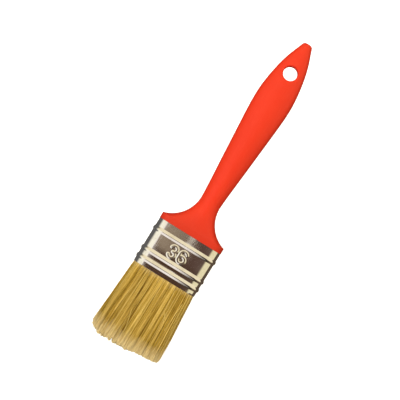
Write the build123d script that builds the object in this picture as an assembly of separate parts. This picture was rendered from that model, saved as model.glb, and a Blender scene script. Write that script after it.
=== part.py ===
"""A flat paint brush: moulded handle, beaded sheet ferrule, and a bristle knot with a filler strip.

Everything is drawn about the brush's own axis: X runs from the handle to the bristle tips and is 0 at the
ferrule's handle-side edge, Y runs across the brush and Z through its depth, with the front face up. The
finished pieces are then moved so that the brush lies on its back, with the origin under the middle of its
bounding box. All sizes are in millimetres and degrees.
"""

import math
import os

from build123d import *

# Ferrule: a band of sheet metal with three beads, its seam along the back
ferrule_width = 36.0
ferrule_depth = 10.4
ferrule_length = 25.5
ferrule_end_radius = 4.9
sheet = 0.3
bead_places = (5.8, 17.3, 22.0)
bead_height = 0.5
bead_half_width = 1.7
bead_foot_radius = 1.1
seam_depth = 0.12
seam_width = 0.25

# Size number, embossed between the first two beads
digit_margin = 0.45
digit_width = 4.9
digit_gap = 0.6
digit_stroke = 1.5
digit_relief = 0.35

# Handle: a one-piece moulding, measured from its tip
handle_length = 114.3
handle_stations = (
    # from the tip, half width, half depth
    (0.0, 2.45, 2.3),
    (6.1, 4.65, 3.3),
    (12.2, 6.69, 3.9),
    (18.3, 8.1, 4.4),
    (27.0, 9.42, 5.05),
    (36.6, 9.85, 5.55),
    (48.0, 9.2, 5.7),
    (60.0, 8.25, 5.5),
    (72.0, 7.3, 5.15),
    (84.0, 6.3, 4.8),
)
handle_roundness = 0.72
tip_roundness = 0.96
tip_round_length = 18.3
neck_half_width = 5.6
neck_half_depth = 4.55
shoulder_radius = 17.3
shoulder_overhang = 0.15
shoulder_steps = 6
collar_length = 3.1
tip_fillet = 2.1
hang_hole_radius = 3.75
hang_hole_from_tip = 17.8
hang_hole_rim = 0.8

# Tang: the end of the moulding inside the ferrule, cored out between its ribs
tang_length = 10.0
tang_clearance = 0.1
core_mouth = (4.2, 2.9)
core_end = (2.4, 1.9)
core_length = 70.0
side_pocket_inner = 8.0
side_pocket_wall = 1.7
side_pocket_depth = 11.6
side_pocket_corner = 1.0

# Tacks, through the back of the ferrule into the tang's ribs
tack_from_edge = 2.6
tack_radius = 0.55
tack_length = 4.0
tack_point = 1.0
tack_head_radius = 1.15
tack_head_height = 0.35
tack_hole_clearance = 0.02

# Setting resin, filler strip and bristle knot
resin_below_filler_end = 1.8
heel_beyond_tang = 3.0
heel_sleeve = 0.7
filler_beyond_tang = 1.5
filler_to_bend_hollow = 1.55
filler_half_width = 12.0
filler_half_depth = 1.2
filler_corner = 0.5
knot_gap = 0.15
root_below_lip = 0.9
bend_beyond_lip = 1.8
bend_clearance = 0.3
bristle_length = 40.7
bristle_stations = (
    # share of the free length, growth of the half width, growth of the half depth
    (0.15, 0.8, 0.2),
    (0.4, 1.4, 0.35),
    (0.7, 2.1, 0.15),
    (0.88, 2.45, -0.3),
    (0.96, 2.1, -0.8),
    (1.0, 1.2, -1.5),
)

# Worked out from the sizes above
half_width = ferrule_width / 2
half_depth = ferrule_depth / 2
panel_length = bead_places[1] - bead_places[0] - 2 * bead_half_width
digit_height = panel_length - 2 * digit_margin
tang_inset = sheet + tang_clearance
knot_inset = sheet + knot_gap
bend_inset = knot_inset + bend_clearance
bend_place = ferrule_length + bend_beyond_lip
tip_place = ferrule_length + bristle_length
root_end = ferrule_length - root_below_lip
heel_start = tang_length + heel_beyond_tang
filler_start = tang_length + filler_beyond_tang
filler_end = bend_place - (half_depth - knot_inset) - filler_to_bend_hollow
resin_end = filler_end - resin_below_filler_end
shoulder_width = half_width + shoulder_overhang
shoulder_rise = shoulder_width - neck_half_width
shoulder_reach = math.sqrt(shoulder_radius**2 - (shoulder_radius - shoulder_rise) ** 2)
tack_y = (core_mouth[0] + side_pocket_inner) / 2
collar_from_tip = handle_length - collar_length
overall_length = handle_length + tip_place
axis_height = half_depth + bead_height
to_row = Pos(handle_length - overall_length / 2, 0, axis_height)


def across(place):
    """The plane square to the brush's axis at a place along it, with Y to the right and Z up."""
    return Plane.YZ.offset(place)


def oval_arcs(wide, deep, corner):
    """The face radius of an oval of four tangent arcs, and the angle at which its arcs meet."""
    face = ((wide - corner) ** 2 + deep**2 - corner**2) / (2 * (deep - corner))
    return face, math.degrees(math.atan2(face - deep, wide - corner))


def oval(wide, deep, corner, inset=0.0):
    """An oval face of four tangent arcs: half width, half depth and end radius, all less inset."""
    face, meet = oval_arcs(wide, deep, corner)
    reach = corner - inset
    y = wide - corner + reach * math.cos(math.radians(meet))
    z = reach * math.sin(math.radians(meet))
    edges = [
        ThreePointArc((y, -z), (wide - inset, 0), (y, z)),
        ThreePointArc((y, z), (0, deep - inset), (-y, z)),
        ThreePointArc((-y, z), (inset - wide, 0), (-y, -z)),
        ThreePointArc((-y, -z), (0, inset - deep), (y, -z)),
    ]
    return make_face(Curve() + edges)


def ferrule_oval(inset=0.0):
    """The ferrule's own outline, taken in by inset."""
    return oval(half_width, half_depth, ferrule_end_radius, inset)


def slice_of_ferrule(start, end, inset):
    """A solid that fills the ferrule's outline between two places, taken in by inset."""
    return extrude(across(start) * ferrule_oval(inset), end - start)


def bead_line(place, level):
    """One bead over a line at a level from the sheet's outer face: foot arc, crown arc, foot arc."""
    angle = 2 * math.atan2(bead_height, bead_half_width)
    both = bead_half_width / math.sin(angle)
    foot = bead_foot_radius - level
    side, rise = foot * math.sin(angle), foot * (1 - math.cos(angle))
    mid_side, mid_rise = foot * math.sin(angle / 2), foot * (1 - math.cos(angle / 2))
    first, last = place - bead_half_width, place + bead_half_width
    crest = level + both * (1 - math.cos(angle))
    return [
        ThreePointArc((first, level), (first + mid_side, level + mid_rise), (first + side, level + rise)),
        ThreePointArc((first + side, level + rise), (place, crest), (last - side, level + rise)),
        ThreePointArc((last - side, level + rise), (last - mid_side, level + mid_rise), (last, level)),
    ]


def sheet_line(start, end, level, places):
    """A line along the ferrule at a level from its outer face, rising over a bead at each place."""
    edges, at = [], start
    for place in places:
        bead = bead_line(place, level)
        edges += [Line((at, level), (place - bead_half_width, level)), *bead]
        at = place + bead_half_width
    return [*edges, Line((at, level), (end, level))]


def sheet_section(outer, inner):
    """The section along the ferrule between two levels, with every bead."""
    edges = sheet_line(0, ferrule_length, outer, bead_places) + sheet_line(0, ferrule_length, inner, bead_places)
    edges += [Line((x, inner), (x, outer)) for x in (0, ferrule_length)]
    return make_face(Curve() + edges)


def turned(section, y, z, radius, start_angle, sweep):
    """A section standing on a circle round (y, z), turned about X from start_angle through sweep."""
    angle = math.radians(start_angle)
    outward = Vector(0, math.cos(angle), math.sin(angle))
    foot = Vector(0, y, z) + outward * radius
    plane = Plane(origin=foot, x_dir=(1, 0, 0), z_dir=Vector(1, 0, 0).cross(outward))
    return revolve(plane * section, Axis((0, y, z), (1, 0, 0)), sweep)


def round_the_ferrule(section):
    """Carries a section round the ferrule's outline: one turned solid on each of its four arcs."""
    face, meet = oval_arcs(half_width, half_depth, ferrule_end_radius)
    end_y, face_z = half_width - ferrule_end_radius, face - half_depth
    arcs = (
        (end_y, 0, ferrule_end_radius, -meet, 2 * meet),
        (0, -face_z, face, meet, 180 - 2 * meet),
        (-end_y, 0, ferrule_end_radius, 180 - meet, 2 * meet),
        (0, face_z, face, 180 + meet, 180 - 2 * meet),
    )
    first, *others = [turned(section, *arc) for arc in arcs]
    return first.fuse(*others)


def seam():
    """The shallow step left by the sheet's lapped edge, following the beads along the back."""
    face, _ = oval_arcs(half_width, half_depth, ferrule_end_radius)
    sweep = math.degrees(seam_width / face)
    section = sheet_section(seam_depth, -seam_depth)
    return turned(section, 0, face - half_depth, face, 270 - sweep / 2, sweep)


def digit_three(wide, tall, stroke):
    """A 3 of two open rings, one above the other."""
    radius = (tall + stroke) / 4
    rings = []
    for centre in (radius, tall - radius):
        ring = Circle(radius) - Circle(radius - stroke)
        rings.append(Pos(wide - radius, centre) * ring)
    opening = Pos(wide - 2 * radius, tall / 2) * Rectangle(2 * radius, tall - 2 * stroke)
    return rings[0] + rings[1] - opening


def digit_six(wide, tall, stroke):
    """A 6 of one ring with a tail that rises from its left side and curls over."""
    radius = wide / 2
    ring = Pos(radius, radius) * (Circle(radius) - Circle(radius - stroke))
    top = Pos(radius, tall - radius) * (Circle(radius) - Circle(radius - stroke))
    top -= Pos(radius, tall - 2 * radius) * Rectangle(2 * radius, 2 * radius)
    top -= Pos(2 * radius, tall - radius) * Rectangle(stroke, stroke)
    side = Pos(stroke / 2, tall / 2) * Rectangle(stroke, tall - 2 * radius)
    return ring + side + top


def size_number():
    """The raised 36 on the front face, read with the handle up."""
    pair = digit_three(digit_width, digit_height, digit_stroke)
    pair += Pos(digit_width + digit_gap, 0) * digit_six(digit_width, digit_height, digit_stroke)
    pair = Pos(-digit_width - digit_gap / 2, -digit_height / 2) * pair
    middle = (bead_places[0] + bead_places[1]) / 2
    face = Plane(origin=(middle, 0, half_depth - sheet / 2), x_dir=(0, 1, 0), z_dir=(0, 0, 1))
    return extrude(face * pair, sheet / 2 + digit_relief)


def tack_seats():
    """Places for the two tacks, heads against the crowned back of the ferrule, their own Z inwards."""
    face, _ = oval_arcs(half_width, half_depth, ferrule_end_radius)
    nearest = tack_y - tack_head_radius
    level = face - half_depth - math.sqrt(face**2 - nearest**2)
    return [Pos(tack_from_edge, y, level) for y in (-tack_y, tack_y)]


def make_ferrule():
    shell = round_the_ferrule(sheet_section(0, -sheet)) - seam()
    for place in tack_seats():
        shell -= place * Cylinder(tack_radius + tack_hole_clearance, 2 * tack_length)
    return shell + size_number()


def handle_sections():
    """Ovals from the tip to the neck: place from the tip, half width, half depth, end radius."""
    stations = [*handle_stations, (collar_from_tip - shoulder_reach, neck_half_width, neck_half_depth)]
    sections = []
    for place, wide, deep in stations:
        share = min(1, place / tip_round_length)
        roundness = tip_roundness + share * (handle_roundness - tip_roundness)
        sections.append((place, wide, deep, roundness * min(wide, deep)))
    return sections


def shoulder_sections():
    """Ovals from the neck to the collar, their half widths on the shoulder's concave arc."""
    end_roundness = ferrule_end_radius / half_depth
    sections = []
    for step in range(shoulder_steps + 1):
        share = step / shoulder_steps
        angle = share * math.asin(shoulder_reach / shoulder_radius)
        place = collar_from_tip - shoulder_reach + shoulder_radius * math.sin(angle)
        wide = neck_half_width + shoulder_radius * (1 - math.cos(angle))
        deep = neck_half_depth + share * (half_depth - neck_half_depth)
        roundness = handle_roundness + share * (end_roundness - handle_roundness)
        sections.append((place, wide, deep, roundness * deep))
    return sections


def lofted(sections):
    """A smooth solid through ovals given by their place from the handle's tip."""
    return loft([across(place - handle_length) * oval(*sizes) for place, *sizes in sections])


def tapered(size, end_size, start, length):
    """A tapered rectangular core that runs towards the handle's tip, with rounded corners."""
    near = across(start) * RectangleRounded(2 * size[0], 2 * size[1], size[1] / 2)
    far = across(start - length) * RectangleRounded(2 * end_size[0], 2 * end_size[1], end_size[1] / 2)
    return loft([near, far])


def side_pockets():
    """The two pockets outside the tang's ribs."""
    outer = half_width - tang_inset - side_pocket_wall
    deep = half_depth - tang_inset - side_pocket_wall
    wide = outer - side_pocket_inner
    mouth = RectangleRounded(wide, 2 * deep, side_pocket_corner)
    pockets = []
    for side in (-1, 1):
        place = across(tang_length) * Pos(side * (side_pocket_inner + outer) / 2, 0)
        pockets.append(extrude(place * mouth, -side_pocket_depth))
    return pockets


def on_hole_rim(edge):
    """Whether an edge runs round the hang hole's wall, and isn't a line along it."""
    centre = hang_hole_from_tip - handle_length
    ends = [edge @ share for share in (0, 0.5, 1)]
    near = all(abs(math.hypot(end.X - centre, end.Y) - hang_hole_radius) < 0.01 for end in ends)
    return near and edge.bounding_box().size.X > hang_hole_radius / 10


def make_handle():
    grip = lofted(handle_sections())
    grip = fillet(grip.edges().group_by(Axis.X)[0], tip_fillet)
    hole = Pos(hang_hole_from_tip - handle_length, 0, 0) * Cylinder(hang_hole_radius, 4 * half_depth)
    grip -= hole
    rims = [edge for edge in grip.edges() if on_hole_rim(edge)]
    grip = fillet(rims, hang_hole_rim)
    body = grip + lofted(shoulder_sections())
    collar = oval(shoulder_width, half_depth, ferrule_end_radius)
    body += extrude(across(-collar_length) * collar, collar_length)
    body += slice_of_ferrule(-collar_length, tang_length, tang_inset)
    body -= tapered(core_mouth, core_end, tang_length, core_length)
    for pocket in side_pockets():
        body -= pocket
    for place in tack_seats():
        body -= place * Cylinder(tack_radius, 2 * (tack_length + sheet))
    return body


def make_tack():
    """One tack, head down: flat head with a bevelled rim, straight shank and point."""
    profile = Polyline(
        (0, -tack_head_height),
        (0, tack_length),
        (tack_radius, tack_length - tack_point),
        (tack_radius, 0),
        (tack_head_radius, 0),
        (tack_head_radius, -tack_head_height / 3),
        (tack_head_radius - tack_head_height, -tack_head_height),
        close=True,
    )
    return revolve(Plane.XZ * make_face(profile), Axis.Z)


def make_tacks():
    return Compound([place * make_tack() for place in tack_seats()])


def filler_block():
    plan = RectangleRounded(2 * filler_half_width, 2 * filler_half_depth, filler_corner)
    return extrude(across(filler_start) * plan, filler_end - filler_start)


def knot_heel():
    """The part of the knot that sits in the resin, with a sleeve of resin round it."""
    return slice_of_ferrule(heel_start, resin_end, sheet + heel_sleeve)


def make_resin():
    return slice_of_ferrule(tang_length, resin_end, sheet) - knot_heel() - filler_block()


def spindle(inset):
    """The ferrule's outline, less inset, turned about the line across the brush where bristles bend."""
    upper = ferrule_oval(inset) & Pos(0, ferrule_depth / 2) * Rectangle(2 * ferrule_width, ferrule_depth)
    return revolve(across(bend_place) * upper, Axis((bend_place, 0, 0), (0, 1, 0)))


def bank(shape, side):
    """The front (+1) or back (-1) half of a knot."""
    half = Pos(0, 0, side * ferrule_depth) * Box(4 * overall_length, 2 * ferrule_width, 2 * ferrule_depth)
    return shape & half


def make_roots():
    roots = knot_heel() + slice_of_ferrule(resin_end, root_end, knot_inset)
    return roots - filler_block() - spindle(knot_inset)


def make_head():
    """The free bristles: a spindle inside the ferrule's mouth, and the flared knot beyond it."""
    wide, deep = half_width - bend_inset, half_depth - bend_inset
    corner = ferrule_end_radius - bend_inset
    sections = [across(bend_place) * oval(wide, deep, corner)]
    for share, wider, deeper in bristle_stations:
        place = bend_place + share * (tip_place - bend_place)
        scale = (deep + deeper) / deep
        sections.append(across(place) * oval(wide + wider, deep + deeper, corner * scale))
    return loft(sections, ruled=True) + spindle(bend_inset)


def make_all():
    roots, head = make_roots(), make_head()
    return {
        "handle": make_handle(),
        "ferrule": make_ferrule(),
        "ferrule_tacks": make_tacks(),
        "setting_resin": make_resin(),
        "filler_strip": filler_block(),
        "bristle_root_front": bank(roots, 1),
        "bristle_root_back": bank(roots, -1),
        "bristle_front": bank(head, 1),
        "bristle_back": bank(head, -1),
    }


os.makedirs("parts", exist_ok=True)
for name, shape in make_all().items():
    export_step(to_row * shape, f"parts/{name}.step")
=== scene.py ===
import math
import random

import bmesh
import bpy
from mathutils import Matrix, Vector, noise


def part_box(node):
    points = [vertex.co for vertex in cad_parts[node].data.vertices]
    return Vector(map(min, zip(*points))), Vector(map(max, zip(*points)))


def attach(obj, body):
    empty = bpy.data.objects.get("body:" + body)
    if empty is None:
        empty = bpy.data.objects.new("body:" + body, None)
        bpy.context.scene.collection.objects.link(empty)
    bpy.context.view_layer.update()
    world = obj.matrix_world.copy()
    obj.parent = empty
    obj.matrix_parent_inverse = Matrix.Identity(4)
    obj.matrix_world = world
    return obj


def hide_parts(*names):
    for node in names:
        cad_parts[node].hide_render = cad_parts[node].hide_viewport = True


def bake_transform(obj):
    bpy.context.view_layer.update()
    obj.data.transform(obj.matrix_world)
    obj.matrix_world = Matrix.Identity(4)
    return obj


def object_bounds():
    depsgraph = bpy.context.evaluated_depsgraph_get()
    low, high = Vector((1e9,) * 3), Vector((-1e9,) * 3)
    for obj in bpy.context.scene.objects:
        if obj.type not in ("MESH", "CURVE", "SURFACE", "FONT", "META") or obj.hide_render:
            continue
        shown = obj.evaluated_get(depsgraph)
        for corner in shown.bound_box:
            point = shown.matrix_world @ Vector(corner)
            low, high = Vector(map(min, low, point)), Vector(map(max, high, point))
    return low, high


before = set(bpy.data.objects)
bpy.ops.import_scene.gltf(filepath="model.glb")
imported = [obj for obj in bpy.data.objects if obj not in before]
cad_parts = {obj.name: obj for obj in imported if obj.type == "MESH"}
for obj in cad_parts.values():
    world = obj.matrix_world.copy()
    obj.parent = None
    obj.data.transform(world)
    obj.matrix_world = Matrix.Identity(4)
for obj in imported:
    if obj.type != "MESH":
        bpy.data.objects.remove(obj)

mm = 0.001
cadLow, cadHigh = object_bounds()
scene = bpy.context.scene

# places that the pieces share, all read from the frame
handleBody, headBody = "handle_body", "bristle_head"
ferruleLow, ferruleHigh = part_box("ferrule")
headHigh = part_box("bristle_front")[1]
tackLow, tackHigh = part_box("ferrule_tacks")
axisZ = (ferruleLow.z + ferruleHigh.z) / 2


def smooth(value, start, end):
    share = max(0.0, min(1.0, (value - start) / (end - start)))
    return share * share * (3 - 2 * share)


def finishMesh(bm, name, material, body, sharpAngle=40):
    mesh = bpy.data.meshes.new(name)
    bm.to_mesh(mesh)
    bm.free()
    mesh.materials.append(material)
    piece = bpy.data.objects.new(name, mesh)
    scene.collection.objects.link(piece)
    mesh.shade_smooth()
    mesh.set_sharp_from_angle(angle=math.radians(sharpAngle))
    if body:
        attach(piece, body)
    return piece


def ovalPoint(wide, deep, corner, around, grow=0.0):
    # four tangent arcs: around runs 0 to 4, one for each arc, from the +Y end over the front face
    face = ((wide - corner) ** 2 + deep**2 - corner**2) / (2 * (deep - corner))
    meet = math.atan2(face - deep, wide - corner)
    arc = int(around) % 4
    share = around - int(around)
    if arc % 2 == 0:
        centreY, centreZ, radius = wide - corner, 0.0, corner
        angle = meet * (2 * share - 1)
    else:
        centreY, centreZ, radius = 0.0, deep - face, face
        angle = meet + (math.pi - 2 * meet) * share
    side = 1 if arc < 2 else -1
    y = centreY + (radius + grow) * math.cos(angle)
    z = centreZ + (radius + grow) * math.sin(angle)
    return side * y, side * z


def addNode(tree, kind, links=(), **values):
    # values name either a node property or an input socket, with _ for a space
    node = tree.nodes.new(kind)
    for name, value in values.items():
        if hasattr(node, name):
            setattr(node, name, value)
        else:
            node.inputs[name.replace("_", " ")].default_value = value
    for socket, source in links:
        tree.links.new(source, node.inputs[socket])
    return node


def rampOf(tree, source, stops):
    node = tree.nodes.new("ShaderNodeValToRGB")
    elements = node.color_ramp.elements
    while len(elements) < len(stops):
        elements.new(0.5)
    for element, (place, colour) in zip(elements, stops):
        element.position = place
        element.color = (*colour, 1) if len(colour) == 3 else colour
    tree.links.new(source, node.inputs["Fac"])
    return node


def grey(value):
    return (value, value, value)


def newGroup(name, inputs, outputs):
    group = bpy.data.node_groups.new(name, "ShaderNodeTree")
    for socket, kind, value in inputs:
        made = group.interface.new_socket(socket, in_out="INPUT", socket_type=kind)
        if value is not None:
            made.default_value = value
    for socket, kind in outputs:
        group.interface.new_socket(socket, in_out="OUTPUT", socket_type=kind)
    return group, group.nodes.new("NodeGroupInput"), group.nodes.new("NodeGroupOutput")


def makeHandlingMarks():
    # fine scuffs and soft finger marks, as a mask and a height
    group, given, made = newGroup(
        "handlingMarks",
        [("Vector", "NodeSocketVector", None), ("Scuff Scale", "NodeSocketFloat", 900.0),
         ("Smudge Scale", "NodeSocketFloat", 60.0)],
        [("Scuffs", "NodeSocketFloat"), ("Smudges", "NodeSocketFloat"), ("Height", "NodeSocketFloat")],
    )
    stretch = addNode(group, "ShaderNodeMapping", [("Vector", given.outputs["Vector"])])
    stretch.inputs["Scale"].default_value = (0.12, 1.0, 1.0)
    scuff = addNode(group, "ShaderNodeTexNoise", [("Vector", stretch.outputs["Vector"]),
                                                 ("Scale", given.outputs["Scuff Scale"])], Detail=3.0)
    thin = rampOf(group, scuff.outputs["Fac"], [(0.57, grey(0)), (0.66, grey(1))])
    smudge = addNode(group, "ShaderNodeTexNoise", [("Vector", given.outputs["Vector"]),
                                                  ("Scale", given.outputs["Smudge Scale"])],
                     Detail=4.0, Roughness=0.6)
    both = addNode(group, "ShaderNodeMath", [(0, thin.outputs["Color"]), (1, smudge.outputs["Fac"])],
                   operation="MULTIPLY")
    group.links.new(both.outputs[0], made.inputs["Scuffs"])
    group.links.new(smudge.outputs["Fac"], made.inputs["Smudges"])
    group.links.new(thin.outputs["Color"], made.inputs["Height"])
    return group


handlingMarks = makeHandlingMarks()


def newMaterial(name):
    material = bpy.data.materials.new(name)
    material.use_nodes = True
    tree = material.node_tree
    return material, tree, tree.nodes["Principled BSDF"]


def objectCoordinates(tree):
    return tree.nodes.new("ShaderNodeTexCoord").outputs["Object"]


def placeGroup(tree, group, links=(), **values):
    node = tree.nodes.new("ShaderNodeGroup")
    node.node_tree = group
    for name, value in values.items():
        node.inputs[name.replace("_", " ")].default_value = value
    for socket, source in links:
        tree.links.new(source, node.inputs[socket])
    return node


def makeHandlePlastic():
    look = {"base": (0.84, 0.040, 0.011), "deep": (0.74, 0.027, 0.007), "pale": (0.90, 0.065, 0.026),
            "roughness": 0.46, "grain": 2600.0, "grainHeight": 0.05, "partingHalf": 0.07 * mm,
            "paintedShadeColour": (0.35, 0.02, 0.006), "paintedShadeStrength": 0.36, "paintedShadeReach": 14 * mm, "evenness": 0.72, "scuffs": 0.3,
            "smoother": 0.05, "rougher": 0.08, "partingHeight": 0.35, "scuffHeight": 0.06}
    material, tree, shader = newMaterial("handlePlastic")
    where = objectCoordinates(tree)
    flow = addNode(tree, "ShaderNodeTexNoise", [("Vector", where)], Scale=26.0, Detail=3.0, Roughness=0.55)
    tint = rampOf(tree, flow.outputs["Fac"], [(0.25, look["deep"]), (0.5, look["base"]), (0.8, look["pale"])])
    marks = placeGroup(tree, handlingMarks, [("Vector", where)], Scuff_Scale=1100.0, Smudge_Scale=70.0)
    calm = addNode(tree, "ShaderNodeMix", data_type="RGBA", Factor=look["evenness"])
    tree.links.new(tint.outputs["Color"], calm.inputs["A"])
    calm.inputs["B"].default_value = (*look["base"], 1)
    faint = addNode(tree, "ShaderNodeMath", [(0, marks.outputs["Scuffs"])], operation="MULTIPLY")
    faint.inputs[1].default_value = look["scuffs"]
    worn = addNode(tree, "ShaderNodeMix", [("Factor", faint.outputs[0])], data_type="RGBA")
    tree.links.new(calm.outputs["Result"], worn.inputs["A"])
    worn.inputs["B"].default_value = (*look["pale"], 1)
    place = addNode(tree, "ShaderNodeSeparateXYZ", [("Vector", where)])
    # painted shade: the plastic darkens towards the ferrule, standing in for the shade that falls on the
    # collar there
    nearFerrule = addNode(tree, "ShaderNodeMapRange", [("Value", place.outputs["X"])])
    nearFerrule.inputs["From Min"].default_value = ferruleLow.x - look["paintedShadeReach"]
    nearFerrule.inputs["From Max"].default_value = ferruleLow.x
    nearFerrule.inputs["To Max"].default_value = look["paintedShadeStrength"]
    shadedNearFerrule = addNode(tree, "ShaderNodeMix", [("Factor", nearFerrule.outputs["Result"])], data_type="RGBA")
    tree.links.new(worn.outputs["Result"], shadedNearFerrule.inputs["A"])
    shadedNearFerrule.inputs["B"].default_value = (*look["paintedShadeColour"], 1)
    tree.links.new(shadedNearFerrule.outputs["Result"], shader.inputs["Base Color"])
    rough = addNode(tree, "ShaderNodeMapRange", [("Value", marks.outputs["Smudges"])])
    rough.inputs["To Min"].default_value = look["roughness"] - look["smoother"]
    rough.inputs["To Max"].default_value = look["roughness"] + look["rougher"]
    tree.links.new(rough.outputs["Result"], shader.inputs["Roughness"])
    grain = addNode(tree, "ShaderNodeTexNoise", [("Vector", where)], Scale=look["grain"], Detail=2.0)
    bump = addNode(tree, "ShaderNodeBump", [("Height", grain.outputs["Fac"])],
                   Strength=look["grainHeight"], Distance=0.1 * mm)
    scuffed = addNode(tree, "ShaderNodeBump", [("Height", marks.outputs["Height"]),
                                              ("Normal", bump.outputs["Normal"])],
                      Strength=look["scuffHeight"], Distance=0.05 * mm)
    scuffed.invert = True
    offLine = addNode(tree, "ShaderNodeMath", [(0, place.outputs["Z"])], operation="COMPARE")
    offLine.inputs[1].default_value = axisZ
    offLine.inputs[2].default_value = look["partingHalf"]
    # a fine line where the mould's halves met
    parting = addNode(tree, "ShaderNodeBump", [("Height", offLine.outputs[0]),
                                              ("Normal", scuffed.outputs["Normal"])],
                      Strength=look["partingHeight"], Distance=0.06 * mm)
    tree.links.new(parting.outputs["Normal"], shader.inputs["Normal"])
    shader.inputs["Specular IOR Level"].default_value = 0.3
    shader.inputs["Subsurface Weight"].default_value = 0.12
    shader.inputs["Subsurface Radius"].default_value = (1.0, 0.25, 0.1)
    shader.inputs["Subsurface Scale"].default_value = 0.8 * mm
    return material


def makeTinplate():
    look = {"base": (0.80, 0.77, 0.73), "tarnish": (0.50, 0.43, 0.36), "roughness": 0.05, "evenness": 0.7,
            "smoother": 0.01, "rougher": 0.05, "lineHeight": 0.02, "scuffHeight": 0.05}
    material, tree, shader = newMaterial("tinplate")
    where = objectCoordinates(tree)
    shader.inputs["Metallic"].default_value = 1.0
    marks = placeGroup(tree, handlingMarks, [("Vector", where)], Scuff_Scale=1500.0, Smudge_Scale=160.0)
    cloud = addNode(tree, "ShaderNodeTexNoise", [("Vector", where)], Scale=240.0, Detail=5.0, Roughness=0.6)
    tint = rampOf(tree, cloud.outputs["Fac"], [(0.3, look["tarnish"]), (0.52, look["base"])])
    mixed = addNode(tree, "ShaderNodeMix", data_type="RGBA", Factor=look["evenness"])
    tree.links.new(tint.outputs["Color"], mixed.inputs["A"])
    mixed.inputs["B"].default_value = (*look["base"], 1)
    tree.links.new(mixed.outputs["Result"], shader.inputs["Base Color"])
    rough = addNode(tree, "ShaderNodeMapRange", [("Value", marks.outputs["Smudges"])])
    rough.inputs["From Min"].default_value = 0.3
    rough.inputs["From Max"].default_value = 0.7
    rough.inputs["To Min"].default_value = look["roughness"] - look["smoother"]
    rough.inputs["To Max"].default_value = look["roughness"] + look["rougher"]
    tree.links.new(rough.outputs["Result"], shader.inputs["Roughness"])
    drawn = addNode(tree, "ShaderNodeMapping", [("Vector", where)])
    drawn.inputs["Scale"].default_value = (1.0, 0.06, 1.0)      # rolling lines run round the band
    lines = addNode(tree, "ShaderNodeTexNoise", [("Vector", drawn.outputs["Vector"])],
                    Scale=3200.0, Detail=3.0)
    bump = addNode(tree, "ShaderNodeBump", [("Height", lines.outputs["Fac"])],
                   Strength=look["lineHeight"], Distance=0.03 * mm)
    scuffed = addNode(tree, "ShaderNodeBump", [("Height", marks.outputs["Height"]),
                                              ("Normal", bump.outputs["Normal"])],
                      Strength=look["scuffHeight"], Distance=0.02 * mm)
    tree.links.new(scuffed.outputs["Normal"], shader.inputs["Normal"])
    return material


def makeTackSteel():
    look = {"dull": (0.34, 0.31, 0.28), "bright": (0.62, 0.6, 0.57), "roughness": (0.22, 0.48)}
    material, tree, shader = newMaterial("tackSteel")
    where = objectCoordinates(tree)
    shader.inputs["Metallic"].default_value = 1.0
    marks = placeGroup(tree, handlingMarks, [("Vector", where)], Scuff_Scale=2500.0, Smudge_Scale=900.0)
    tint = rampOf(tree, marks.outputs["Smudges"], [(0.35, look["dull"]), (0.65, look["bright"])])
    tree.links.new(tint.outputs["Color"], shader.inputs["Base Color"])
    rough = addNode(tree, "ShaderNodeMapRange", [("Value", marks.outputs["Smudges"])])
    rough.inputs["To Min"].default_value, rough.inputs["To Max"].default_value = look["roughness"]
    tree.links.new(rough.outputs["Result"], shader.inputs["Roughness"])
    return material


def makeSetResin():
    look = {"rim": (0.30, 0.17, 0.06), "middle": (0.12, 0.06, 0.02), "roughness": 0.25, "gloss": 0.4}
    material, tree, shader = newMaterial("setResin")
    where = objectCoordinates(tree)
    cells = addNode(tree, "ShaderNodeTexVoronoi", [("Vector", where)], Scale=900.0)
    tint = rampOf(tree, cells.outputs["Distance"], [(0.05, look["rim"]), (0.5, look["middle"])])
    tree.links.new(tint.outputs["Color"], shader.inputs["Base Color"])
    shader.inputs["Roughness"].default_value = look["roughness"]
    shader.inputs["Coat Weight"].default_value = look["gloss"]
    bump = addNode(tree, "ShaderNodeBump", [("Height", cells.outputs["Distance"])],
                   Strength=0.25, Distance=0.2 * mm)
    tree.links.new(bump.outputs["Normal"], shader.inputs["Normal"])
    return material


def makeFillerWood():
    look = {"dark": (0.38, 0.23, 0.11), "mid": (0.62, 0.44, 0.26), "light": (0.72, 0.55, 0.36),
            "roughness": 0.75}
    material, tree, shader = newMaterial("fillerWood")
    where = objectCoordinates(tree)
    along = addNode(tree, "ShaderNodeMapping", [("Vector", where)])
    along.inputs["Scale"].default_value = (1.0, 0.08, 1.0)
    grain = addNode(tree, "ShaderNodeTexNoise", [("Vector", along.outputs["Vector"])],
                    Scale=1400.0, Detail=6.0, Distortion=0.6)
    tint = rampOf(tree, grain.outputs["Fac"],
                  [(0.3, look["dark"]), (0.55, look["mid"]), (0.75, look["light"])])
    tree.links.new(tint.outputs["Color"], shader.inputs["Base Color"])
    shader.inputs["Roughness"].default_value = look["roughness"]
    bump = addNode(tree, "ShaderNodeBump", [("Height", grain.outputs["Fac"])],
                   Strength=0.4, Distance=0.1 * mm)
    tree.links.new(bump.outputs["Normal"], shader.inputs["Normal"])
    return material


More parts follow.
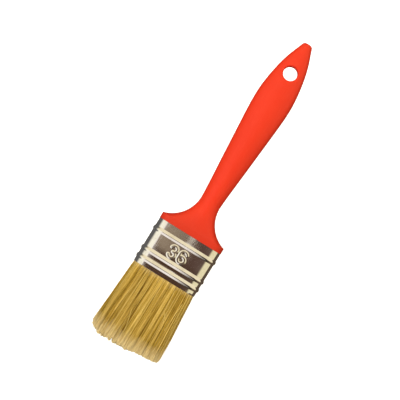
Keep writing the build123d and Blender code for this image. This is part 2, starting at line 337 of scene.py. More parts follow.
def makeFilament():
    # each filament carries its own shade, with painted side light and painted furrow shade worked into it,
    # and its share of the way from the ferrule to its tip
    look = {"dark": (0.25, 0.14, 0.018), "mid": (0.60, 0.385, 0.060), "light": (0.90, 0.69, 0.22),
            "tip": (0.98, 0.83, 0.49), "tipStart": 0.79, "tipHalfway": 0.9, "tipEnd": 0.98, "tipCover": 0.78,
            "heelCover": 0.25, "heelEnd": 0.06, "flecks": 0.35, "tipFlecks": 0.5, "roughness": (0.55, 0.8)}
    material, tree, shader = newMaterial("filament")
    shade = addNode(tree, "ShaderNodeAttribute", attribute_name="filamentShade")
    along = addNode(tree, "ShaderNodeAttribute", attribute_name="filamentAlong")
    where = objectCoordinates(tree)
    stretch = addNode(tree, "ShaderNodeMapping", [("Vector", where)])
    stretch.inputs["Scale"].default_value = (0.25, 1.0, 1.0)
    fleck = addNode(tree, "ShaderNodeTexNoise", [("Vector", stretch.outputs["Vector"])],
                    Scale=900.0, Detail=3.0)
    spread = addNode(tree, "ShaderNodeMath", [(0, fleck.outputs["Fac"])], operation="MULTIPLY_ADD")
    spread.inputs[1].default_value = look["flecks"]
    spread.inputs[2].default_value = -look["flecks"] / 2
    mixed = addNode(tree, "ShaderNodeMath", [(0, shade.outputs["Fac"]), (1, spread.outputs[0])],
                    operation="ADD")
    tint = rampOf(tree, mixed.outputs[0], [(0.0, look["dark"]), (0.5, look["mid"]), (1.0, look["light"])])
    uneven = addNode(tree, "ShaderNodeMath", [(0, spread.outputs[0]), (2, along.outputs["Fac"])],
                     operation="MULTIPLY_ADD")
    uneven.inputs[1].default_value = look["tipFlecks"]
    paling = rampOf(tree, uneven.outputs[0], [
        (0.0, grey(look["heelCover"])), (look["heelEnd"], grey(0)), (look["tipStart"], grey(0)),
        (look["tipHalfway"], grey(0.45)), (look["tipEnd"], grey(look["tipCover"])),
    ])
    worn = addNode(tree, "ShaderNodeMix", [("Factor", paling.outputs["Color"])], data_type="RGBA")
    tree.links.new(tint.outputs["Color"], worn.inputs["A"])
    worn.inputs["B"].default_value = (*look["tip"], 1)
    tree.links.new(worn.outputs["Result"], shader.inputs["Base Color"])
    rough = addNode(tree, "ShaderNodeMapRange", [("Value", fleck.outputs["Fac"])])
    rough.inputs["To Min"].default_value, rough.inputs["To Max"].default_value = look["roughness"]
    tree.links.new(rough.outputs["Result"], shader.inputs["Roughness"])
    shader.inputs["Specular IOR Level"].default_value = 0.1
    return material


handlePlastic = makeHandlePlastic()
tinplate = makeTinplate()
tackSteel = makeTackSteel()
setResin = makeSetResin()
fillerWood = makeFillerWood()
filament = makeFilament()
print("materials made")


nodeFinishes = {
    "handle": handlePlastic,
    "setting_resin": setResin,
    "filler_strip": fillerWood,
}
for nodeName, finish in nodeFinishes.items():
    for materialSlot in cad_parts[nodeName].material_slots:
        materialSlot.material = finish


ferruleShape = {
    "wide": 18.0 * mm,
    "deep": 5.2 * mm,
    "corner": 4.9 * mm,
    "sheet": 0.3 * mm,
    "beadHeight": ferruleHigh.y - 18.0 * mm,
    "beadHalves": (1.7 * mm, 1.25 * mm),     # the handle side is gentler than the bristle side
    "beadFeet": (1.1 * mm, 0.8 * mm),
    "beads": (5.8 * mm, 17.3 * mm, 22.0 * mm),
    "beadSteps": 24,
    "panelStep": 0.13 * mm,
    "endSteps": 26,
    "sideSteps": 22,
    "backSteps": 60,
    "topSteps": 8,
    "lowFlats": ((1, 1.8 * mm), (1, 2.4 * mm), (2, 2.0 * mm), (2, 2.7 * mm)),    # bead, and place beyond it
    "edgeRound": 0.08 * mm,     # the cut edges of the sheet are eased this much
    "edgeBack": 0.05 * mm,
    "seamColumn": 3.5,          # the middle of the back, as ovalPoint counts round the band
    "seamHalfWidth": 0.12 * mm,
    "seamDepth": 0.12 * mm,
    "waveHeight": 0.008 * mm,
    "waveLength": 8.0 * mm,
    "leaningFlats": ((18.55 * mm, 20.3 * mm), (23.25 * mm, 25.5 * mm)),
    "lean": 0.03,           # these flats fall this much towards the bristles
    "sagStart": 11.6 * mm,
    "sag": 0.045 * mm,      # the panel falls this much before the second bead
}
numberShape = {
    "stroke": 1.4 * mm,
    "slope": 0.36 * mm,
    "relief": 0.21 * mm,
    "dish": 0.08,           # how far the middle of a stroke sinks back
    "halfWidth": 6.4 * mm,      # the part of the panel that the numerals take, and half its length
    "halfLength": 4.4 * mm,
    "tall": 7.7 * mm,
    "wideOne": 4.9 * mm,
    "gap": 0.55 * mm,
    "stretch": 1.07,
    "offCentre": -0.45 * mm,
}


def beadLevel(offset):
    # foot arc, crown arc, foot arc
    shape = ferruleShape
    side = 0 if offset < 0 else 1
    half, height, foot = shape["beadHalves"][side], shape["beadHeight"], shape["beadFeet"][side]
    turn = 2 * math.atan2(height, half)
    crown = half / math.sin(turn) - foot
    fromEdge = half - abs(offset)
    if fromEdge <= 0:
        return 0.0
    if fromEdge < foot * math.sin(turn):
        return foot - math.sqrt(foot**2 - fromEdge**2)
    return height - crown + math.sqrt(crown**2 - offset**2)


def strokeArcs():
    # centre lines of the two numerals: centre right, centre up, radius, first and last angle in degrees
    shape = numberShape
    tall, wide, half = shape["tall"], shape["wideOne"], shape["stroke"] / 2
    threeRadius = (tall - 2 * half) / 4
    threeCentre = -shape["gap"] / 2 - half - threeRadius
    sixRadius = wide / 2 - half
    sixCentre = shape["gap"] / 2 + wide / 2
    low, high = half + sixRadius, tall - half - sixRadius
    return [
        (threeCentre, half + threeRadius, threeRadius, -165, 90),
        (threeCentre, tall - half - threeRadius, threeRadius, -90, 165),
        (sixCentre, low, sixRadius, -180, 180),
        (sixCentre, high, sixRadius, 30, 180),
    ], (sixCentre - sixRadius, low, high)


def distanceToStrokes(right, up, strokes):
    arcs, (lineRight, lineLow, lineHigh) = strokes
    nearest = math.hypot(right - lineRight, up - max(lineLow, min(lineHigh, up)))
    for centreRight, centreUp, radius, first, last in arcs:
        fromRight, fromUp = right - centreRight, up - centreUp
        angle = math.degrees(math.atan2(fromUp, fromRight))
        if first <= angle <= last or first <= angle - 360 <= last or first <= angle + 360 <= last:
            distance = abs(math.hypot(fromRight, fromUp) - radius)
        else:
            ends = [
                math.hypot(fromRight - radius * math.cos(math.radians(end)),
                           fromUp - radius * math.sin(math.radians(end)))
                for end in (first, last)
            ]
            distance = min(ends)
        nearest = min(nearest, distance)
    return nearest


def numberHeight(right, up, strokes):
    shape = numberShape
    half = shape["stroke"] / 2
    right = (right - shape["offCentre"]) / shape["stretch"]
    distance = distanceToStrokes(right, up + shape["tall"] / 2, strokes)
    plateau = 1 - smooth(distance, half - shape["slope"], half + shape["slope"] / 2)
    dish = shape["dish"] * (1 - smooth(distance, 0, half - shape["slope"]))
    return shape["relief"] * plateau * (1 - dish)


def ferruleColumns():
    shape = ferruleShape
    faceSpan = 2 * (shape["wide"] - shape["corner"])
    columns = [step / shape["endSteps"] for step in range(shape["endSteps"])]
    numberShare = numberShape["halfWidth"] / faceSpan
    sideSteps = shape["sideSteps"]
    columns += [1 + (0.5 - numberShare) * step / sideSteps for step in range(sideSteps)]
    numberSteps = round(2 * numberShape["halfWidth"] / shape["panelStep"])
    columns += [1.5 - numberShare + 2 * numberShare * step / numberSteps for step in range(numberSteps)]
    columns += [1.5 + numberShare + (0.5 - numberShare) * step / sideSteps for step in range(sideSteps)]
    columns += [2 + step / shape["endSteps"] for step in range(shape["endSteps"])]
    seamShare = shape["seamHalfWidth"] / faceSpan
    back = [3 + step / shape["backSteps"] for step in range(shape["backSteps"])]
    columns += [place for place in back if abs(place - shape["seamColumn"]) > 2.5 * seamShare]
    columns += [shape["seamColumn"] + seamShare * offset for offset in (-2, -1, -0.5, 0, 0.5, 1, 2)]
    return sorted(columns)


def ferrulePlaces():
    shape = ferruleShape
    length = ferruleHigh.x - ferruleLow.x
    panelLow = shape["beads"][0] + shape["beadHalves"][1]
    panelHigh = shape["beads"][1] - shape["beadHalves"][0]
    places = [shape["edgeBack"], length - shape["edgeBack"]]
    for bead in shape["beads"]:
        for step in range(shape["beadSteps"] + 1):
            reach = 2 * step / shape["beadSteps"] - 1
            places.append(bead + shape["beadHalves"][0 if reach < 0 else 1] * reach)
    panelSteps = round((panelHigh - panelLow) / shape["panelStep"])
    places += [panelLow + (panelHigh - panelLow) * step / panelSteps for step in range(1, panelSteps)]
    topSteps = [shape["beads"][0] * step / shape["topSteps"] for step in range(1, shape["topSteps"])]
    places += [place for place in topSteps if place < shape["beads"][0] - shape["beadHalves"][0]]
    places += [shape["beads"][bead] + beyond for bead, beyond in shape["lowFlats"]]
    return sorted(places)


def levelAt(place):
    shape = ferruleShape
    level = max(beadLevel(place - bead) for bead in shape["beads"])
    for low, high in shape["leaningFlats"]:
        nearest = max(low, min(high, place))
        fade = max(0.0, 1 - abs(place - nearest) / shape["beadHalves"][1])
        level -= shape["lean"] * (nearest - (low + high) / 2) * fade
    sagEnd = shape["beads"][1] - shape["beadHalves"][0]
    sagging = max(0.0, min(1.0, (place - shape["sagStart"]) / (sagEnd - shape["sagStart"])))
    fading = max(0.0, 1 - max(0.0, place - sagEnd) / shape["beadHalves"][0])
    return level - shape["sag"] * sagging**2 * fading


def makeFerrule():
    shape = ferruleShape
    columns = ferruleColumns()
    length = ferruleHigh.x - ferruleLow.x
    strokes = strokeArcs()
    panelCentre = (shape["beads"][0] + shape["beads"][1]) / 2
    outer = [(place, levelAt(place), "outer") for place in ferrulePlaces()]
    edge = shape["edgeRound"]
    lip = [(length, -edge, "edge"), (length, edge - shape["sheet"], "edge")]
    inner = [(place, levelAt(place) - shape["sheet"], "inner") for place in reversed(ferrulePlaces()[::3])]
    start = [(0.0, edge - shape["sheet"], "edge"), (0.0, -edge, "edge")]
    bm = bmesh.new()
    around = bm.verts.layers.float.new("around")
    ring = bmesh.ops.create_circle(bm, cap_ends=False, segments=len(columns), radius=1)["verts"]
    for vert, column in zip(ring, columns):
        vert[around] = column
    edges = list(bm.edges)
    firstEdges = edges
    profile = outer + lip + inner + start
    for index, (place, level, wall) in enumerate(profile):
        if index:
            grown = bmesh.ops.extrude_edge_only(bm, edges=edges)["geom"]
            ring = [part for part in grown if isinstance(part, bmesh.types.BMVert)]
            edges = [part for part in grown if isinstance(part, bmesh.types.BMEdge)]
        for vert in ring:
            column = vert[around]
            y, z = ovalPoint(shape["wide"], shape["deep"], shape["corner"], column, level)
            if wall == "outer":
                height = 0.0
                besideNumber = abs(y) >= numberShape["halfWidth"] or z <= 0
                if not besideNumber and abs(place - panelCentre) < numberShape["halfLength"]:
                    height = numberHeight(y, panelCentre - place, strokes)
                fromSeam = abs(column - shape["seamColumn"]) * 2 * (shape["wide"] - shape["corner"])
                seam = fromSeam / shape["seamHalfWidth"]
                height -= shape["seamDepth"] * (1 - smooth(seam, 0.4, 1.2))
                wave = noise.noise(Vector((place, y, z)) / shape["waveLength"])
                height += wave * shape["waveHeight"]
                y, z = ovalPoint(shape["wide"], shape["deep"], shape["corner"], column, level + height)
            vert.co = (ferruleLow.x + place, y, axisZ + z)
    bmesh.ops.bridge_loops(bm, edges=edges + firstEdges)
    bmesh.ops.recalc_face_normals(bm, faces=bm.faces)
    piece = finishMesh(bm, "ferruleBand", tinplate, handleBody)
    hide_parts("ferrule")


makeFerrule()
print("ferrule made")


tackShape = {"headRadius": 1.15 * mm, "headHeight": 0.35 * mm, "shankRadius": 0.55 * mm, "point": 1.0 * mm,
             "segments": 28, "domeSteps": 6, "weld": 0.001 * mm}


def makeTacks():
    shape = tackShape
    seat = tackLow.z + shape["headHeight"]
    profile = [(0.0, tackLow.z)]
    for step in range(1, shape["domeSteps"] + 1):
        turn = math.pi / 2 * step / shape["domeSteps"]
        profile.append((shape["headRadius"] * math.sin(turn), seat - shape["headHeight"] * math.cos(turn)))
    profile += [(shape["shankRadius"], seat), (shape["shankRadius"], tackHigh.z - shape["point"]),
                (0.0, tackHigh.z)]
    centreX = (tackLow.x + tackHigh.x) / 2
    reachY = tackHigh.y - shape["headRadius"]
    bm = bmesh.new()
    for side in (-1, 1):
        centre = Vector((centreX, side * reachY, 0))
        verts = [bm.verts.new(centre + Vector((radius, 0, height))) for radius, height in profile]
        edges = [bm.edges.new(pair) for pair in zip(verts, verts[1:])]
        bmesh.ops.spin(bm, geom=verts + edges, cent=centre, axis=(0, 0, 1), angle=2 * math.pi,
                       steps=shape["segments"], use_merge=True)
    bmesh.ops.remove_doubles(bm, verts=bm.verts, dist=shape["weld"])
    bmesh.ops.recalc_face_normals(bm, faces=bm.faces)
    piece = finishMesh(bm, "tacks", tackSteel, handleBody)
    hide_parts("ferrule_tacks")


makeTacks()
print("tacks made")


bristleShape = {
    "seed": 36,
    "filaments": 12400,
    "radius": 0.088 * mm,
    "wanderY": 0.15,            # how far single filaments stray, across and deep, in mm
    "wanderZ": 0.09,
    "tipStep": 0.2,             # how much their lengths differ, in mm
    "shortShare": 0.1,          # some filaments are shorter still
    "shortStep": 1.4,
    "shadeStep": 0.26,
    "locksAcross": 74,
    "locksDeep": 9,
    "lockNarrowness": 5.0,      # locks are drawn out through the depth of the brush
    "lockLeanY": 0.16,          # how far locks lean and sway, and how deep they sink, in mm
    "lockLeanZ": 0.084,
    "lockSway": 0.12,
    "lockSunk": 0.11,
    "sunkFace": 0.55,           # only locks further out than this sink, from this share of the length on
    "sunkShare": 0.25,
    "lockTipStep": 0.18,
    "lockShade": 0.13,
    "paintedSideLight": 0.07,          # painted light: the -Y half, on the lit side, is this much paler, and the other half as much darker
    "cling": 0.42,              # the most that a lock draws its filaments together at the tips
    "clingPower": 1.6,          # cling and lean grow towards the tips with these powers of the share
    "leanPower": 1.5,
    "swayTurns": 5.0,
    "lopsided": 0.035,          # how much further the +Y side fans out
    "tuftsAcross": 46,
    "tuftStep": 0.45,           # how much the tufts of the ragged half differ in length, in mm
    "raggedStep": 0.42,         # how much the locks in them do
    "raggedBack": 0.1,          # and how much shorter that half is
    "raggedHalf": ((-1.0, -0.75), (-0.05, 0.3)),    # where it fades in and out across the brush
    "overshoot": 0.8 * mm,      # the furthest that a tip stands past the modelled head
    "strokeJitter": 0.035,      # how far the points along a filament stray from their stations
    "thickness": (1, 1, 1, 1, 1, 1, 0.96, 0.62),    # at each station, as a part of the radius
    "bendShare": 0.32,          # the share of the free length that curves when the head bends
    "strayThickness": 1.6,
    "strayShade": 1.2,
    "drift": 0.10,              # how much a lock's shade changes along it, and how often
    "driftTurns": 8,
    "driftPhase": 1.7,
    "furrowDepth": 0.22 * mm,
    "furrowWander": 0.35 * mm,
    "furrowWaves": 9,
    "furrowStart": (-0.08, 0.04),    # how a furrow fades in and out, about its start and end share
    "furrowEnd": (-0.1, 0.1),
    "furrowFace": 0.6,          # only filaments further out than this in the front bank carry furrows
    "streaks": (                # furrows sunk into the front face, with painted shade in them: across, width, start and end share, depth
        (-7.1 * mm, 0.6 * mm, -0.1, 0.36, 0.7),
        (-4.4 * mm, 1.1 * mm, 0.45, 0.9, 0.55),
        (1.2 * mm, 0.5 * mm, 0.25, 0.7, 0.45),
        (5.2 * mm, 0.5 * mm, 0.5, 0.95, 0.5),
        (10.8 * mm, 0.5 * mm, 0.0, 0.35, 0.45),
        (-13.2 * mm, 0.5 * mm, 0.1, 0.55, 0.45),
    ),
    "strayRise": 0.5,           # how high they bow, and how far their ends are sunk, in mm
    "straySunk": 0.28,
    "strayBow": 0.12,
    "strayTaper": 0.4,
    "strays": (                 # loose filaments on the front face: across and share at the start and end
        (9.4 * mm, 0.34, 12.5 * mm, 0.56),
        (7.9 * mm, 0.05, 9.3 * mm, 0.42),
        (-11.6 * mm, 0.30, -12.6 * mm, 0.66),
        (-1.0 * mm, 0.42, 0.6 * mm, 0.82),
        (14.8 * mm, 0.15, 14.1 * mm, 0.58),
        (-5.9 * mm, 0.52, -3.2 * mm, 0.80),
    ),
}
lipX = ferruleHigh.x
freeLength = headHigh.x - lipX

tipLengths = [
    # place across, from -Y to +Y, and the free length there
    (-19.8 * mm, 36.4 * mm), (-18.6 * mm, 38.0 * mm), (-16.5 * mm, 39.4 * mm), (-13.0 * mm, 40.3 * mm),
    (-9.0 * mm, 40.6 * mm), (-4.0 * mm, 40.3 * mm), (3.5 * mm, 40.2 * mm), (6.0 * mm, 39.5 * mm),
    (12.0 * mm, 39.0 * mm), (17.5 * mm, 38.6 * mm), (19.1 * mm, 37.6 * mm), (19.9 * mm, 36.0 * mm),
]
fanStations = [
    # share of the free length, half width, half depth, half gap between the banks
    (-0.28, 17.1 * mm, 4.45 * mm, 1.25 * mm),
    (0.0, 17.6 * mm, 4.88 * mm, 0.62 * mm),
    (0.09, 17.93 * mm, 5.02 * mm, 0.4 * mm),
    (0.18, 18.1 * mm, 5.05 * mm, 0.2 * mm),
    (0.29, 18.3 * mm, 5.0 * mm, 0.08 * mm),
    (0.46, 18.68 * mm, 4.87 * mm, 0.0),
    (0.73, 19.27 * mm, 4.52 * mm, 0.0),
    (1.00, 19.7 * mm, 3.8 * mm, 0.0),
]


def between(stations, place, column=1):
    for low, high in zip(stations, stations[1:]):
        if place <= high[0]:
            share = max(0.0, (place - low[0]) / (high[0] - low[0]))
            return low[column] + share * (high[column] - low[column])
    return stations[-1][column]


def makeLocks(dice):
    # neighbouring filaments cling together: each lock has its own lean, length, depth and shade
    shape = bristleShape
    tufts = [dice.gauss(0, shape["tuftStep"]) for _ in range(shape["tuftsAcross"])]
    locks = []
    for row in range(shape["locksDeep"]):
        for column in range(shape["locksAcross"]):
            across = 2 * (column + dice.uniform(0.1, 0.9)) / shape["locksAcross"] - 1
            deep = 2 * (row + dice.uniform(0.15, 0.85)) / shape["locksDeep"] - 1
            fadeIn, fadeOut = shape["raggedHalf"]
            ragged = smooth(across, *fadeIn) - smooth(across, *fadeOut)
            tuft = tufts[min(len(tufts) - 1, int((across + 1) / 2 * len(tufts)))]
            locks.append({
                "across": across,
                "deep": deep,
                "cling": dice.uniform(0.0, shape["cling"]) * (0.5 + 1.5 * ragged),
                "leanY": dice.gauss(0, shape["lockLeanY"]) * mm,
                "leanZ": dice.gauss(0, shape["lockLeanZ"]) * mm,
                "swayY": dice.gauss(0, shape["lockSway"]) * mm,
                "phase": dice.uniform(0, 2 * math.pi),
                "longer": (dice.gauss(0, shape["lockTipStep"] + shape["raggedStep"] * ragged)
                           + (tuft - shape["raggedBack"]) * ragged) * mm,
                "sunk": max(0.0, dice.gauss(0.0, shape["lockSunk"])) * mm,
                "shade": dice.gauss(0, shape["lockShade"]),
            })
    return locks


def nearestLock(locks, across, deep):
    shape = bristleShape
    column = min(shape["locksAcross"] - 1, int((across + 1) / 2 * shape["locksAcross"]))
    row = min(shape["locksDeep"] - 1, int((deep + 1) / 2 * shape["locksDeep"]))
    best, bestDistance = None, math.inf
    for r in range(max(0, row - 1), min(shape["locksDeep"], row + 2)):
        for c in range(max(0, column - 1), min(shape["locksAcross"], column + 2)):
            lock = locks[r * shape["locksAcross"] + c]
            distance = math.hypot((across - lock["across"]) * shape["lockNarrowness"], deep - lock["deep"])
            if distance < bestDistance:
                best, bestDistance = lock, distance
    return best


def insideOval(across, deep):
    corner = ferruleShape["corner"] / ferruleShape["wide"]
    overrun = abs(across) - (1 - corner)
    return overrun <= 0 or (overrun / corner) ** 2 + deep**2 <= 1


def furrow(across, share):
    # how strongly a furrow runs through this place on the front face: it sinks the filaments there, and its
    # painted shade darkens them
    shape = bristleShape
    strongest = 0.0
    for middle, width, start, end, depth in shape["streaks"]:
        wander = shape["furrowWander"] * math.sin(shape["furrowWaves"] * share + middle / mm)
        beside = 1 - smooth(abs(across - middle - wander), 0.0, width)
        along = smooth(share - start, *shape["furrowStart"]) * (1 - smooth(share - end, *shape["furrowEnd"]))
        strongest = max(strongest, depth * beside * along)
    return strongest


def filamentPath(across, deep, lock, dice):
    shape = bristleShape
    side = 1 if deep >= 0 else -1
    length = between(tipLengths, across * fanStations[-1][1]) + lock["longer"]
    length += dice.gauss(0, shape["tipStep"]) * mm
    if dice.random() < shape["shortShare"]:
        length -= abs(dice.gauss(0, shape["shortStep"])) * mm
    length = min(length, freeLength + shape["overshoot"])
    wanderY = dice.gauss(0, shape["wanderY"]) * mm
    wanderZ = dice.gauss(0, shape["wanderZ"]) * mm
    points, furrowShadeAndDrift = [], []
    for index, (share, *_) in enumerate(fanStations):
        if 2 <= index < len(fanStations) - 1:
            share += dice.uniform(-1, 1) * shape["strokeJitter"]
        halfWide, halfDeep, gap = (between(fanStations, share, column) for column in (1, 2, 3))
        free = max(0.0, share)
        cling = lock["cling"] * free ** shape["clingPower"]
        leaning = free ** shape["leanPower"]
        nearY = across + (lock["across"] - across) * cling
        nearZ = abs(deep) + (abs(lock["deep"]) - abs(deep)) * cling
        y = nearY * halfWide * (1 + shape["lopsided"] * max(0.0, nearY) * free)
        y += (lock["leanY"] + wanderY) * leaning
        y += lock["swayY"] * free * math.sin(lock["phase"] + shape["swayTurns"] * free)
        sinking = smooth(abs(deep), shape["sunkFace"], 1.0) * smooth(free, 0.0, shape["sunkShare"])
        z = gap + nearZ * (halfDeep - gap) - lock["sunk"] * sinking
        groove = furrow(y, share) if deep > shape["furrowFace"] else 0.0
        z = side * (z - shape["furrowDepth"] * groove) + (side * lock["leanZ"] + wanderZ) * leaning
        x = lipX + share * (length if share > 0 else freeLength)
        points.append((x, y, axisZ + z, free, shape["thickness"][index]))
        # painted shade in the furrow, plus the lock's own drift in tone along its length
        drifting = math.sin(shape["driftPhase"] * lock["phase"] + shape["driftTurns"] * share)
        furrowShadeAndDrift.append(groove + shape["drift"] * drifting)
    return points, furrowShadeAndDrift


def strayPath(startY, startShare, endY, endShare):
    # starts and ends under the surface, and lies on it between
    shape = bristleShape
    points = []
    steps = len(fanStations) - 1
    for step in range(steps + 1):
        along = step / steps
        share = startShare + (endShare - startShare) * along
        bow = math.sin(math.pi * along)
        y = startY + (endY - startY) * (along + shape["strayBow"] * bow)
        rise = shape["strayRise"] * bow**0.5 - shape["straySunk"]
        z = axisZ + between(fanStations, share, 2) + rise * mm
        thick = shape["strayThickness"] * (1 - shape["strayTaper"] * along)
        points.append((lipX + share * freeLength, y, z, share, thick))
    return points


def makeFilaments(name, members, nodes):
    shape = bristleShape
    curve = bpy.data.curves.new(name + "Curve", "CURVE")
    curve.dimensions = "3D"
    curve.bevel_depth = shape["radius"]
    curve.bevel_resolution = 0
    curve.use_fill_caps = True
    for path, _ in members:
        spline = curve.splines.new("POLY")
        spline.points.add(len(path) - 1)
        spline.points.foreach_set("co", [value for x, y, z, *_ in path for value in (x, y, z, 1.0)])
        spline.points.foreach_set("radius", [thick for *_, thick in path])
    drawn = bpy.data.objects.new(name + "Curve", curve)
    scene.collection.objects.link(drawn)
    depsgraph = bpy.context.evaluated_depsgraph_get()
    mesh = bpy.data.meshes.new_from_object(drawn.evaluated_get(depsgraph))
    bpy.data.objects.remove(drawn)
    mesh.name = name
    # a drawn mesh holds the end caps first, counted backwards, and then the rings
    marks = [[(point[3], shade) for point, shade in zip(path, shades)] for path, shades in members]
    rings = [mark for path in reversed(marks) for mark in (path[-1], path[0])]
    rings += [mark for path in marks for mark in path]
    perRing = len(mesh.vertices) // len(rings)
    alongValues = [free for free, _ in rings for _ in range(perRing)]
    shadeValues = [shade for _, shade in rings for _ in range(perRing)]
    mesh.attributes.new("filamentShade", "FLOAT", "POINT").data.foreach_set("value", shadeValues)
    mesh.attributes.new("filamentAlong", "FLOAT", "POINT").data.foreach_set("value", alongValues)
    mesh.materials.clear()
    mesh.materials.append(filament)
    mesh.shade_smooth()
    piece = bpy.data.objects.new(name, mesh)
    scene.collection.objects.link(piece)
    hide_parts(*nodes)
    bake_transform(piece)


def makeBristles():
    shape = bristleShape
    dice = random.Random(shape["seed"])
    locks = makeLocks(dice)
    banks = {
        "bristlesFrontFace": [], "bristlesFrontHeart": [],
        "bristlesBackFace": [], "bristlesBackHeart": [],
    }
    made = 0
    while made < shape["filaments"]:
        across, deep = dice.uniform(-1, 1), dice.uniform(-1, 1)
        if not insideOval(across, deep):
            continue
        lock = nearestLock(locks, across, deep)
        path, furrowShadeAndDrift = filamentPath(across, deep, lock, dice)
        # painted light: the light from the -Y side is painted into each filament's shade across the brush
        shade = 0.5 + lock["shade"] - shape["paintedSideLight"] * across + dice.gauss(0, shape["shadeStep"])
        bank = "bristles" + ("Front" if deep >= 0 else "Back") + ("Face" if abs(deep) > 0.5 else "Heart")
        # the furrows' painted shade and the drift in tone come off each point's shade
        banks[bank].append((path, [shade - less for less in furrowShadeAndDrift]))
        made += 1
    for stray in shape["strays"]:
        path = strayPath(*stray)
        banks["bristlesFrontFace"].append((path, [shape["strayShade"]] * len(path)))
    for name, members in banks.items():
        side = "front" if "Front" in name else "back"
        makeFilaments(name, members, ["bristle_" + side, "bristle_root_" + side])


makeBristles()
print("bristles made")


floorLook = {"size": 3.0, "colour": (0.80, 0.80, 0.80), "roughness": 0.9, "glow": 0.82, "below": 32 * mm}


def makeFloor():
    # it lies below the lowest place that the bent bristles reach, and glows like a light table
    bm = bmesh.new()
    bmesh.ops.create_grid(bm, x_segments=1, y_segments=1, size=floorLook["size"] / 2)
    bmesh.ops.translate(bm, verts=bm.verts, vec=(0, 0, cadLow.z - floorLook["below"]))
    mesh = bpy.data.meshes.new("floor")
    bm.to_mesh(mesh)
    bm.free()
    material, tree, shader = newMaterial("paleFloor")
    shader.inputs["Base Color"].default_value = (*floorLook["colour"], 1)
    shader.inputs["Roughness"].default_value = floorLook["roughness"]
    shader.inputs["Specular IOR Level"].default_value = 0.0
    shader.inputs["Emission Color"].default_value = (1, 1, 1, 1)
    shader.inputs["Emission Strength"].default_value = floorLook["glow"]
    mesh.materials.append(material)
    floor = bpy.data.objects.new("floor", mesh)
    scene.collection.objects.link(floor)
    floor.visible_glossy = False
    floor.visible_diffuse = False      # so that it doesn't brighten the brush's edges


softboxLook = {"place": (0.02, -0.42, 0.95), "size": 0.7, "watts": 4.6, "colour": (1.0, 0.97, 0.93)}


def makeSoftbox():
    look = softboxLook
    data = bpy.data.lights.new("softbox", "AREA")
    data.size = look["size"]
    data.energy = look["watts"]
    data.color = look["colour"]
    softbox = bpy.data.objects.new("softbox", data)
    scene.collection.objects.link(softbox)
    softbox.location = look["place"]
    softbox.rotation_euler = (-Vector(look["place"])).to_track_quat("-Z", "Y").to_euler()
    softbox.visible_glossy = False


tentLook = {
    "tips": (1.06, 1.0, 0.96),
    "left": (1.15, 1.12, 0.96),
    "right": (0.97, 0.89, 0.58),
    "cream": (1.05, 0.94, 0.67),
    "openingLeft": (0.34, 0.265, 0.19),
    "openingRight": (0.115, 0.066, 0.052),
    "openingTips": (0.085, 0.045, 0.028),
    "tipsRight": (0.055, 0.04, 0.03),
    "tipsFarRight": (0.20, 0.14, 0.09),
    "lowLeft": (0.14, 0.138, 0.138),
    "lowRight": (0.12, 0.085, 0.06),
    "card": (1.05, 0.98, 0.86),
}
tentEdges = {                   # where one part of the tent passes into the next, as parts of a direction
    "left": (-0.10, -0.25),
    "right": (0.05, 0.20),
    "cream": (-0.05, -0.20),
    "openingStart": (-0.16, -0.09),
    "openingEnd": (0.26, 0.16),
    "openingLeft": (-0.108, -0.096),
    "openingRight": (0.42, 0.07),
    "insideAcross": (-0.07, 0.07),
    "insideTips": (0.035, 0.085),
    "cardEnd": (0.0265, 0.0235),
    "cardLeft": (0.008, 0.011),
    "cardRight": (0.035, 0.031),
    "farRight": (0.35, 0.7),
    "tipsStart": (0.10, 0.18),
    "tipsRight": (0.03, 0.095),
    "slantLow": (0.65, 0.10),
    "slantLeft": (-0.4, -0.6),
    "lowAcross": (-0.2, 0.2),
    "horizon": (0.10, 0.0),
}


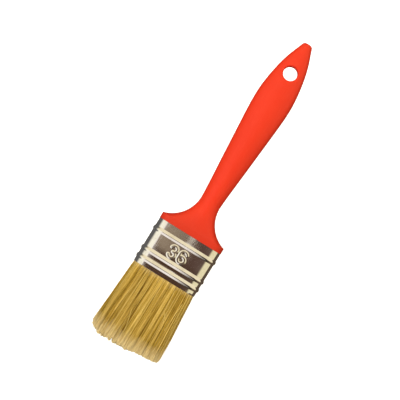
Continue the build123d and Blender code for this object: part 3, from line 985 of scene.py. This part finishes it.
def makeTent():
    # a white tent with a dark opening overhead, which is where the flat of the ferrule gets its brown
    world = bpy.data.worlds.new("tent")
    scene.world = world
    world.use_nodes = True
    tree = world.node_tree
    background = tree.nodes["Background"]
    look = tentLook
    where = tree.nodes.new("ShaderNodeTexCoord").outputs["Generated"]
    split = addNode(tree, "ShaderNodeSeparateXYZ", [("Vector", where)])
    x, y, z = split.outputs

    def ramp(value, edge):
        node = addNode(tree, "ShaderNodeMapRange", [("Value", value)], interpolation_type="SMOOTHSTEP")
        node.inputs["From Min"].default_value, node.inputs["From Max"].default_value = tentEdges[edge]
        return node.outputs["Result"]

    def both(first, second):
        return addNode(tree, "ShaderNodeMath", [(0, first), (1, second)], operation="MULTIPLY").outputs[0]

    def mixed(factor, first, second):
        node = addNode(tree, "ShaderNodeMix", [("Factor", factor)], data_type="RGBA")
        for socket, value in (("A", first), ("B", second)):
            if isinstance(value, tuple):
                node.inputs[socket].default_value = (*value, 1)
            else:
                tree.links.new(value, node.inputs[socket])
        return node.outputs["Result"]

    lit = mixed(ramp(y, "left"), look["tips"], look["left"])
    lit = mixed(ramp(y, "right"), lit, look["right"])
    lit = mixed(ramp(x, "cream"), lit, look["cream"])
    alongBrush = both(ramp(x, "openingStart"), ramp(x, "openingEnd"))
    acrossBrush = both(ramp(y, "openingLeft"), ramp(y, "openingRight"))
    overhead = both(alongBrush, acrossBrush)
    inside = mixed(ramp(y, "insideAcross"), look["openingLeft"], look["openingRight"])
    inside = mixed(ramp(x, "insideTips"), inside, look["openingTips"])
    card = both(ramp(x, "cardEnd"), both(ramp(y, "cardLeft"), ramp(y, "cardRight")))
    inside = mixed(card, inside, look["card"])
    lit = mixed(overhead, lit, inside)
    farRight = mixed(ramp(y, "farRight"), look["tipsRight"], look["tipsFarRight"])
    lit = mixed(both(ramp(x, "tipsStart"), ramp(y, "tipsRight")), lit, farRight)
    lit = mixed(both(ramp(z, "slantLow"), ramp(y, "slantLeft")), lit, look["lowLeft"])
    low = mixed(ramp(y, "lowAcross"), look["lowLeft"], look["lowRight"])
    lit = mixed(ramp(z, "horizon"), lit, low)
    seen = tree.nodes.new("ShaderNodeLightPath").outputs["Is Camera Ray"]
    tree.links.new(mixed(seen, lit, (1.0, 1.0, 1.0)), background.inputs["Color"])


cameraLook = {
    "turn": 121.75,                # the brush leans across the frame, handle up to the right
    "lens": 150.0,
    "frameWidth": 203.4 * mm,
    "beyondMiddle": Vector((6.05 * mm, -5.3 * mm)),
}


def makeCamera():
    look = cameraLook
    data = bpy.data.cameras.new("camera")
    camera = bpy.data.objects.new("camera", data)
    scene.collection.objects.link(camera)
    data.lens = look["lens"]
    distance = look["frameWidth"] * look["lens"] / data.sensor_width
    middle = (cadLow + cadHigh) / 2
    camera.location = (middle.x + look["beyondMiddle"].x, middle.y + look["beyondMiddle"].y, axisZ + distance)
    camera.rotation_euler = (0, 0, math.radians(look["turn"]))
    scene.camera = camera
    scene.view_settings.view_transform = "Standard"


makeFloor()
makeSoftbox()
makeTent()
makeCamera()
print("floor, light and camera made")
